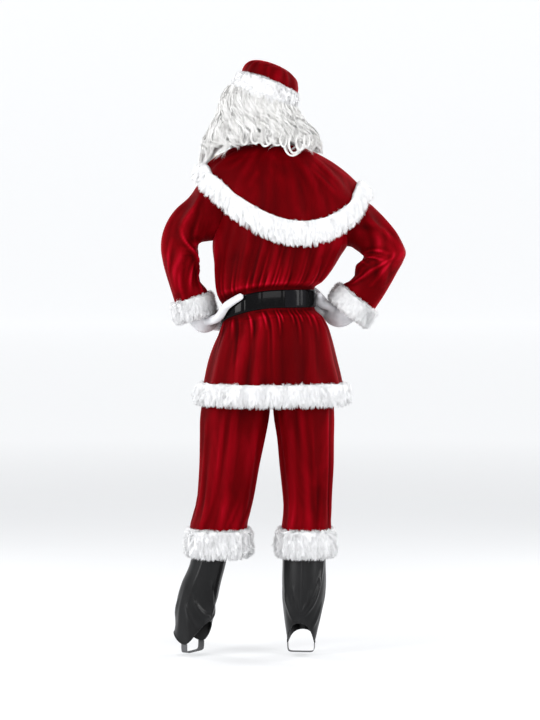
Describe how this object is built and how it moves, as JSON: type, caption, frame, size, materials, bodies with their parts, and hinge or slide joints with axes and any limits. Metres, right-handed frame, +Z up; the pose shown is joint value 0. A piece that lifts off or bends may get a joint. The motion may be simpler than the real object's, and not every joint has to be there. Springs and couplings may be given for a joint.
{
  "type": "Santa costume set, worn form, seen from behind",
  "caption": "Worn Santa costume set: fur-banded hat, wig and beard, shoulder cape, belted velvet jacket, gloves, trousers and boot covers, hollow, hands on hips.",
  "frame": {"origin": "where the wearer's shoulders hold the costume: on the body's centre line, 1.50 m above the ground the wearer stands on", "axes": "+X towards the wearer's right, which is the picture's right because it shows the back; +Y towards the wearer's front, away from the picture's camera; +Z up"},
  "size_m": [0.7625, 0.4076, 1.8517],
  "materials": {
    "velvet": "satin",
    "fur": "matte",
    "hair": "satin",
    "vinyl": "gloss",
    "satin_cover": "satin",
    "knit": "matte",
    "metal": "satin",
    "button": "gloss"
  },
  "bodies": {
    "root": {"jacket_back": "velvet", "jacket_front_right": "velvet", "jacket_front_left": "velvet", "jacket_fur_hem": "fur", "sleeve_left": "velvet", "sleeve_fur_left": "fur", "sleeve_right": "velvet", "sleeve_fur_right": "fur", "belt": "vinyl", "belt_buckle": "metal", "trousers_left": "velvet", "trouser_fur_left": "fur", "trousers_right": "velvet", "trouser_fur_right": "fur", "boot_cover_left": "satin_cover", "boot_strap_left": "satin_cover", "boot_cover_right": "satin_cover", "boot_strap_right": "satin_cover", "cape": "velvet", "cape_fur": "fur", "cape_button": "button", "jacket_button": "button", "hat_crown": "velvet", "hat_band": "fur", "wig_back": "hair", "wig_locks": "hair", "beard": "hair", "glove_left": "knit", "glove_right": "knit"}
  },
  "joints": []
}
